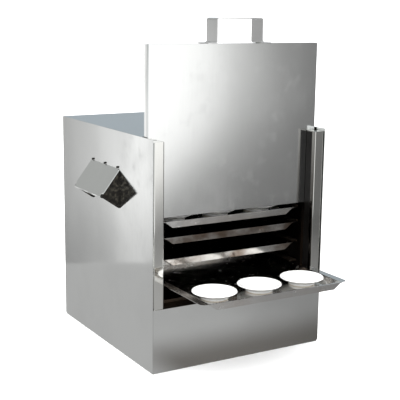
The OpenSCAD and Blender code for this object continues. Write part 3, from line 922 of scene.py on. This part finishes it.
@dataclass
class Controls:
    """The control box with thermostat, switch, lamp and inlet."""

    shop: Workshop
    ticks: int = 11
    sweep: float = 270.0
    tick: tuple[float, float, float] = (0.0003, 0.0034, 0.0007)
    flutes: int = 18
    flute: float = 0.0007
    knob_high: float = 0.016
    skirt_high: float = 0.004
    grip_share: float = 0.794

    def build(self) -> None:
        """Dresses the box's parts and adds the fluted knob and its scale."""
        self.shop.dress(["control_box"], BOX_STEEL, Edge.SHEET)
        self.shop.dress(["thermostat_body"], PLATED, Edge.SMALL)
        self.shop.dress(["switch_housing", "power_inlet"], BLACK, Edge.SHEET)
        self.shop.dress(["power_switch"], RED, Edge.FOLD)
        self.shop.dress(["pilot_lamp"], LENS, Edge.FOLD)
        self.shop.dress(["inlet_pins"], BRASS, Edge.SMALL)
        self.shop.dress(["thermostat_knob"], BLACK, Edge.SHEET)
        self.knob()
        self.scale()

    def axle(self) -> Matrix:
        """Local axes with Z along the knob's axle, starting at its skirt."""
        low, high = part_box("thermostat_knob")
        at = Vector((high.x - self.knob_high, (low.y + high.y) / 2.0, (low.z + high.z) / 2.0))
        return Matrix.Translation(at) @ Matrix.Rotation(math.pi / 2.0, 4, "Y")

    def knob(self) -> None:
        """A fluted cap over the knob, with a white pointer."""
        low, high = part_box("thermostat_knob")
        full = (high.z - low.z) / 2.0
        grip = full * self.grip_share
        top, skirt = self.knob_high, self.skirt_high

        def fluted(r: float, h: float, a: float) -> tuple[float, float]:
            """Cuts flutes into the gripping part."""
            inside = skirt + 0.0012 < h < top - 0.0012
            cut = self.flute * (0.5 + 0.5 * math.cos(a * self.flutes)) if inside else 0.0
            return r - cut, h

        rings = [
            (0.0, 0.0), (full - 0.0006, 0.0), (full, 0.0006), (full, skirt - 0.0006),
            (full - 0.0006, skirt), (grip + 0.0012, skirt + 0.0002), (grip + 0.0008, skirt + 0.0014),
            (grip + 0.0007, top * 0.625), (grip + 0.0005, top - 0.0016), (grip - 0.0006, top - 0.0004),
            (grip - 0.0022, top - 0.0001), (0.0, top - 0.0004),
        ]
        shape = bmesh.new()
        Workshop.lathe(shape, rings, self.axle(), 144, fluted)
        cap = Workshop.piece("knob_cap", shape, BLACK, "knob", "black_plastic")
        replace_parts(Workshop.smooth(cap), "thermostat_knob")
        shape = bmesh.new()
        size = Matrix.Diagonal((0.0011, 0.0016, grip * 0.8, 1.0))
        centre = (low + high) / 2.0
        at = Vector((high.x - 0.0006, centre.y, centre.z + grip * 0.5))
        bmesh.ops.create_cube(shape, size=1.0, matrix=Matrix.Translation(at) @ size)
        bmesh.ops.bevel(shape, geom=shape.edges[:], offset=0.0003, segments=2, affect="EDGES")
        Workshop.piece("knob_pointer", shape, WHITE_PRINT, "knob", "black_plastic")

    def scale(self) -> None:
        """Printed strokes round the knob, with no lettering."""
        low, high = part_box("thermostat_knob")
        box_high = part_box("control_box")[1]
        at = Vector((box_high.x, (low.y + high.y) / 2.0, (low.z + high.z) / 2.0))
        radius = (high.z - low.z) / 2.0 + 0.0030
        shape = bmesh.new()
        for i in range(self.ticks):
            a = math.radians(i * self.sweep / (self.ticks - 1))
            long = self.tick[1] * (1.25 if i % 5 == 0 else 0.8)
            place = (
                Matrix.Translation(at)
                @ Matrix.Rotation(-a, 4, "X")
                @ Matrix.Translation((0.0, 0.0, radius + long / 2.0))
            )
            size = Matrix.Diagonal((self.tick[0], self.tick[2], long, 1.0))
            bmesh.ops.create_cube(shape, size=1.0, matrix=place @ size)
        bmesh.ops.bevel(shape, geom=shape.edges[:], offset=0.00008, segments=1, affect="EDGES")
        Workshop.piece("knob_scale", shape, WHITE_PRINT, "cabinet", "control_sheet")


@dataclass
class Grips:
    """The two side grips: polished cover, wooden cheeks and bar, dark rivets."""

    shop: Workshop

    def build(self) -> None:
        """Dresses the grips."""
        self.shop.dress(["grip_cover_left", "grip_cover_right"], GRIP_STEEL, Edge.SHEET)
        self.shop.dress(["grip_bars", "grip_cheeks"], WOOD, Edge.SOFT)
        self.shop.dress(["grip_rivets"], DARK_RIVET, Edge.SHEET)


@dataclass
class Door:
    """The lift-up door with its bent strip handle."""

    shop: Workshop
    foot: float = 0.018
    bend: float = 0.0042
    thick: float = 0.002
    softness: float = 0.0004
    steps: int = 6

    def build(self) -> None:
        """Dresses the sheet and builds the handle."""
        self.shop.dress(["door_panel"], DOOR_SHEET, Edge.SHEET)
        self.shop.dress(["handle_nuts"], SCREW_STEEL, Edge.SMALL)
        self.shop.dress(["door_handle"], HANDLE_STEEL)
        self.handle()

    def arc(self, corner: Vector, start: Vector, end: Vector, radius: float) -> list[Vector]:
        """Points of a bend that replaces a square corner.

        Args:
            corner: The square corner.
            start: Unit vector from the corner back along the line.
            end: Unit vector from the corner forwards along the line.
            radius: The bend's radius.

        Returns:
            The bend's points in order.
        """
        centre = corner + (start + end) * radius
        points = []
        for i in range(self.steps + 1):
            a = math.pi / 2.0 * i / self.steps
            points.append(centre - end * radius * math.cos(a) - start * radius * math.sin(a))
        return points

    def handle(self) -> None:
        """One strip with two feet, two legs and a top, bent with soft corners."""
        low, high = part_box("door_handle")
        across = Vector((0.0, high.y - low.y, 0.0))
        right, up = Vector((1.0, 0.0, 0.0)), Vector((0.0, 0.0, 1.0))
        left_x, right_x = low.x + self.foot, high.x - self.foot
        inner = self.bend - self.thick
        line = [Vector((low.x, low.y, low.z + self.thick))]
        line += self.arc(Vector((left_x, low.y, low.z + self.thick)), -right, up, inner)
        line += self.arc(Vector((left_x, low.y, high.z)), -up, right, self.bend)
        line += self.arc(Vector((right_x, low.y, high.z)), -right, -up, self.bend)
        line += self.arc(Vector((right_x, low.y, low.z + self.thick)), up, right, inner)
        line += [Vector((high.x, low.y, low.z + self.thick))]
        shape = bmesh.new()
        Workshop.strip(shape, line, across, self.thick)
        handle = Workshop.piece("bent_handle", shape, HANDLE_STEEL, "door", "door_handle")
        Workshop.smooth(handle)
        bevel = handle.modifiers.new("edge_break", "BEVEL")
        bevel.width, bevel.segments = self.softness, 2
        bevel.limit_method, bevel.angle_limit = "ANGLE", math.radians(50.0)
        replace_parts(handle, "door_handle")


@dataclass
class Trays:
    """The four food trays with two rows of glazed dishes."""

    shop: Workshop

    def build(self) -> None:
        """Dresses trays and dishes."""
        self.shop.dress(["tray_1", "tray_4"], BRIGHT_TRAY, Edge.SHEET)
        self.shop.dress(["tray_2", "tray_3"], USED_TRAY, Edge.SHEET)
        for name in ("dishes_upper", "dishes_lower"):
            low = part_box(name)[0]
            self.shop.dress([name], WhiteGlaze(f"white_glaze_{name}", low.z))


@dataclass
class Screws:
    """Pan-head screws with a cross recess, in place of the plain heads."""

    shop: Workshop
    recess: float = 0.0009
    arm: float = 0.00052
    shank: float = 0.002
    count: int = 72

    def build(self) -> None:
        """Builds the screws of the back panel, the control box and the handle's feet."""
        upright = Matrix.Identity(4)
        rearward = Matrix.Rotation(-math.pi / 2.0, 4, "X")
        outward = Matrix.Rotation(math.pi / 2.0, 4, "Y")
        self.set_of("back_screws", "Y", rearward, 0.0022, "cabinet")
        self.set_of("control_screws", "X", outward, 0.0020, "cabinet")
        self.set_of("handle_screws", "Z", upright, 0.0024, "door")

    def set_of(self, node: str, axis: str, turn: Matrix, head: float, body: str) -> None:
        """Builds one set of equal screws as a single piece.

        Args:
            node: The CAD part that the set stands for.
            axis: The row axis that the screws point along.
            turn: Turns the local Z axis to the way that the heads face.
            head: Height of a head.
            body: The body that the set rides on.
        """
        shape = bmesh.new()
        k = "XYZ".index(axis)
        for i, (low, high) in enumerate(self.spots(node)):
            centre = (low + high) / 2.0
            centre[k] = high[k] - head
            wide = (high - low)[(k + 1) % 3] / 2.0
            spin = Matrix.Rotation(math.radians(20.0 + 37.0 * i), 4, "Z")
            self.screw(shape, Matrix.Translation(centre) @ turn @ spin, wide, head, centre[k] - low[k])
        made = Workshop.piece(f"{node}_pan_head", shape, SCREW_STEEL, body, "fasteners")
        self.shop.dress([node], SCREW_STEEL)
        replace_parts(Workshop.smooth(made, 28.0), node)

    def spots(self, node: str, gap: float = 0.02) -> list[tuple[Vector, Vector]]:
        """The box of each separate solid in a CAD part.

        Args:
            node: The CAD part.
            gap: Points closer together than this belong to one solid.

        Returns:
            The boxes' corners.
        """
        groups: list[list[Vector]] = []
        for vertex in self.shop.frame["nodes"][node].data.vertices:
            for group in groups:
                if (group[0] - vertex.co).length < gap:
                    group.append(vertex.co.copy())
                    break
            else:
                groups.append([vertex.co.copy()])
        return [
            (
                Vector([min(p[k] for p in group) for k in range(3)]),
                Vector([max(p[k] for p in group) for k in range(3)]),
            )
            for group in groups
        ]

    def screw(
        self, shape: bmesh.types.BMesh, where: Matrix, wide: float, head: float, deep: float
    ) -> None:
        """Adds one screw.

        Args:
            shape: The mesh that it is added to.
            where: Places the underside of its head, with Z outwards.
            wide: The head's radius.
            head: The head's height.
            deep: Length of the shank.
        """
        span = wide * 0.56

        def crossed(r: float, h: float, a: float) -> tuple[float, float]:
            """Sinks the points that lie in the cross."""
            x, y = abs(r * math.cos(a)), abs(r * math.sin(a))
            inside = min(x, y) < self.arm and max(x, y) < span and h > head * 0.5
            return r, h - self.recess if inside else h

        rings = [(0.0, -deep), (self.shank, -deep), (self.shank, 0.0), (wide, 0.0)]
        rings += [(wide, head * 0.35), (wide * 0.97, head * 0.52)]
        for i in range(1, 15):
            share = 1.0 - i / 15.0
            rings.append((wide * 0.93 * share, head * (1.0 - 0.36 * share * share)))
        rings.append((0.0, head - self.recess))
        Workshop.lathe(shape, rings, where, self.count, crossed)


# ---- studio ----


@dataclass
class Studio:
    """Floor, mirrored room, mirrored table, lamps and world, in metres and watts."""

    room: float = 60.0
    floor: float = 40.0
    sky: float = 2.2
    card_lift: float = 0.0002
    card: Sequence[tuple[float, float]] = (
        (-1.30, -0.90), (0.9, -1.25), (1.3, 0.6), (0.42, 0.92), (-1.20, 0.158)
    )
    lamps: Sequence[tuple[str, tuple[float, float, float], float, float]] = field(
        default_factory=lambda: (
            ("top_lamp", (-0.3, -0.5, 2.6), 2.2, 26.0),
            ("front_lamp", (-1.6, -2.4, 1.6), 1.8, 22.0),
            ("back_lamp", (1.4, 2.2, 1.8), 1.8, 14.0),
        )
    )

    def build(self) -> None:
        """Makes the whole studio."""
        self.world()
        self.stand()
        self.mirrored_room()
        self.mirrored_table()
        for name, at, size, power in self.lamps:
            self.lamp(name, Vector(at), size, power)

    def world(self) -> None:
        """A plain white world."""
        world = bpy.data.worlds.new("white_room")
        bpy.context.scene.world = world
        world.use_nodes = True
        world.node_tree.nodes.clear()
        graph = Graph(world.node_tree)
        white = (1.0, 1.0, 1.0, 1.0)
        light = graph.node("ShaderNodeBackground", {}, {"Color": white, "Strength": self.sky})
        graph.add("ShaderNodeOutputWorld", {}, {0: light})

    @staticmethod
    def sheet(name: str, corners: Sequence[Sequence[float]], finish: Finish) -> bpy.types.Object:
        """A flat sheet of the studio.

        Args:
            name: Its name.
            corners: Its corners in order.
            finish: What it is finished in.

        Returns:
            The sheet.
        """
        mesh = bpy.data.meshes.new(name)
        mesh.from_pydata([tuple(c) for c in corners], [], [tuple(range(len(corners)))])
        mesh.materials.append(finish.material())
        made = bpy.data.objects.new(name, mesh)
        bpy.context.scene.collection.objects.link(made)
        return made

    def stand(self) -> None:
        """The pale floor, which the steel doesn't mirror."""
        s = self.floor
        floor = self.sheet(
            "studio_floor", [(-s, -s, 0.0), (s, -s, 0.0), (s, s, 0.0), (-s, s, 0.0)], PaleFloor()
        )
        floor.visible_glossy = False

    @staticmethod
    def mirror_only(card: bpy.types.Object) -> None:
        """Leaves a card to be seen in reflections alone."""
        card.visible_camera = False
        card.visible_diffuse = False
        card.visible_transmission = False
        card.visible_volume_scatter = False
        card.visible_shadow = False
        for slot in card.material_slots:
            slot.material.cycles.emission_sampling = "NONE"

    def mirrored_room(self) -> None:
        """A large sphere whose inside is the room that the steel mirrors."""
        shape = bmesh.new()
        bmesh.ops.create_icosphere(shape, subdivisions=5, radius=self.room)
        mesh = bpy.data.meshes.new("mirrored_room")
        shape.to_mesh(mesh)
        shape.free()
        mesh.materials.append(RoomGlow().material())
        room = bpy.data.objects.new("mirrored_room", mesh)
        bpy.context.scene.collection.objects.link(room)
        self.mirror_only(room)

    def mirrored_table(self) -> None:
        """The grey table top under the smoker, seen only in the steel."""
        glow = TableGlow(front=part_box("front_panel")[0].y)
        corners = [(x, y, self.card_lift) for x, y in self.card]
        self.mirror_only(self.sheet("mirrored_table", corners, glow))

    @staticmethod
    def lamp(name: str, at: Vector, size: float, power: float) -> None:
        """A soft square lamp aimed at the smoker, which the steel doesn't mirror."""
        light = bpy.data.lights.new(name, "AREA")
        light.shape, light.size, light.energy = "SQUARE", size, power
        made = bpy.data.objects.new(name, light)
        made.location = at
        aim = Vector((0.0, 0.0, 0.25)) - at
        made.rotation_euler = aim.to_track_quat("-Z", "Y").to_euler()
        made.visible_glossy = False
        made.visible_camera = False
        bpy.context.scene.collection.objects.link(made)


@dataclass
class Viewpoint:
    """The camera that looks at the smoker from the front left, a little above it."""

    azimuth: float = -30.684
    elevation: float = 11.526
    roll: float = 0.707
    distance: float = 1.6597
    aim: tuple[float, float, float] = (-0.0893, -0.197, 0.3081)
    lens: float = 84.97

    def build(self) -> None:
        """Makes the camera and puts it in the scene."""
        a, e, r = (math.radians(v) for v in (self.azimuth, self.elevation, self.roll))
        back = Vector((math.sin(a) * math.cos(e), -math.cos(a) * math.cos(e), math.sin(e)))
        level = Vector((0.0, 0.0, 1.0)).cross(back).normalized()
        upright = back.cross(level)
        right = level * math.cos(r) + upright * math.sin(r)
        up = upright * math.cos(r) - level * math.sin(r)
        data = bpy.data.cameras.new("front_left_view")
        data.lens, data.sensor_width, data.sensor_fit = self.lens, 36.0, "HORIZONTAL"
        data.clip_start, data.clip_end = 0.05, 200.0
        made = bpy.data.objects.new("front_left_view", data)
        turn = Matrix((right, up, back)).transposed().to_4x4()
        made.matrix_world = Matrix.Translation(Vector(self.aim) + back * self.distance) @ turn
        bpy.context.scene.collection.objects.link(made)
        bpy.context.scene.camera = made
        bpy.context.scene.view_settings.view_transform = "Standard"


def main() -> None:
    """Builds the studio and every sub-assembly."""
    logging.basicConfig(level=logging.INFO, format="%(name)s: %(message)s")
    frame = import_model()
    shop = Workshop(frame)
    Viewpoint().build()
    Studio().build()
    for part in (Cabinet, FrontFrame, Oven, Controls, Grips, Door, Trays, Screws):
        part(shop).build()
        LOG.info("%s done", part.__name__)


if __name__ == "__main__":
    main()
